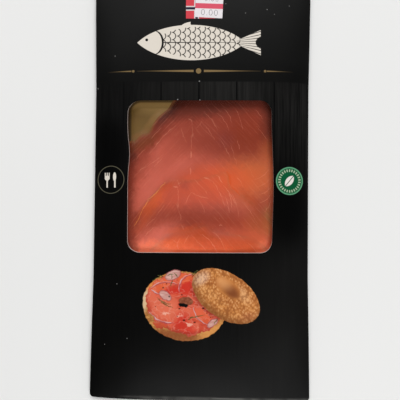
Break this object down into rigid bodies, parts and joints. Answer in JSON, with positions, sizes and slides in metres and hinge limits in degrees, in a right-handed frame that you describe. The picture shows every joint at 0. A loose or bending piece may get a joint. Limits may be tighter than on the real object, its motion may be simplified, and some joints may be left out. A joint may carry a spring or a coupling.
{
  "type": "pack of smoked salmon slices",
  "caption": "Flat black card sleeve with a rounded window showing vacuum-packed smoked salmon slices shingled on a gold board.",
  "frame": {"origin": "on the surface that the pack lies on, under the middle of its bounding box", "axes": "+Y along the pack towards its top end, +X to the right seen from the front, +Z out of the front panel"},
  "size_m": [0.1302, 0.256, 0.0085],
  "materials": {
    "printed_card": "black print with a satin varnish, grey card showing at the cut edges",
    "salmon_under_film": "clear glossy film drawn tight over moist orange flesh",
    "label_paper": "matt white thermal paper with a coloured band"
  },
  "bodies": {
    "root": {"sleeve": "printed_card", "vacuum_pouch": "salmon_under_film", "price_label": "label_paper"}
  },
  "joints": []
}
